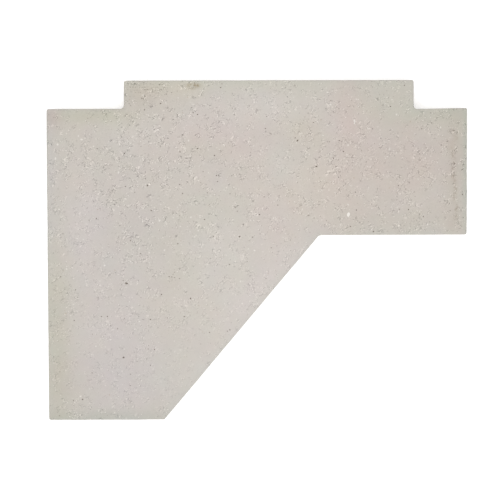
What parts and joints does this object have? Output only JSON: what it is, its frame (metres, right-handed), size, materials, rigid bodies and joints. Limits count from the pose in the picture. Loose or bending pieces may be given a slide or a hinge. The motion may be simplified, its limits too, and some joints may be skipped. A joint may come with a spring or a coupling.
{
  "type": "refractory firebrick",
  "caption": "Flat cast refractory firebrick for a stove's side lining, with a stepped tongue along its top and a splayed cut-away below its arm.",
  "frame": {"origin": "centre of the underside of the brick's bounding box, as it lies on its back", "axes": "+X along the brick from the butt edge to the nose, +Y from the foot to the tongue, +Z out of the formed face"},
  "size_m": [0.315, 0.255, 0.025],
  "materials": {
    "refractory": "matte cast chamotte, fine-grained, with pinholes and pale grog grains"
  },
  "bodies": {
    "root": {"firebrick": "refractory"}
  },
  "joints": []
}
